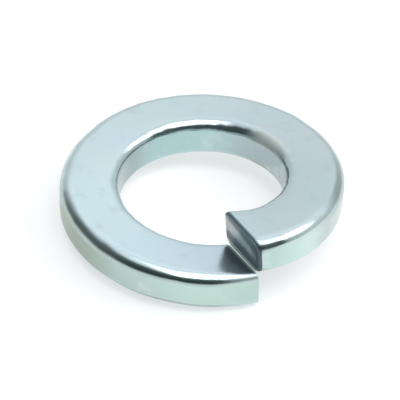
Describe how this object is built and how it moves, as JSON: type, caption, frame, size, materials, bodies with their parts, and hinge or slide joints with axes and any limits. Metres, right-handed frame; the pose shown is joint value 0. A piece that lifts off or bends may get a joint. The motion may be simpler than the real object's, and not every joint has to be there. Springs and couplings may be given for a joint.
{
  "type": "spring lock washer",
  "caption": "Split spring lock washer: a turn of rounded flat spring wire with sheared ends sprung apart, one above the other, round a bolt bore.",
  "frame": {"origin": "on the bore's axis, at the height of the lowest point, the underside of the low end", "axes": "+Z along the bore, towards the raised end; -Y towards the split; +X right of the split, on the raised end's side"},
  "size_m": [0.0144, 0.0144, 0.004],
  "materials": {
    "zinc_plate": "zinc plate with a clear blue passivation"
  },
  "bodies": {
    "root": {"lock_washer": "zinc_plate"}
  },
  "joints": []
}
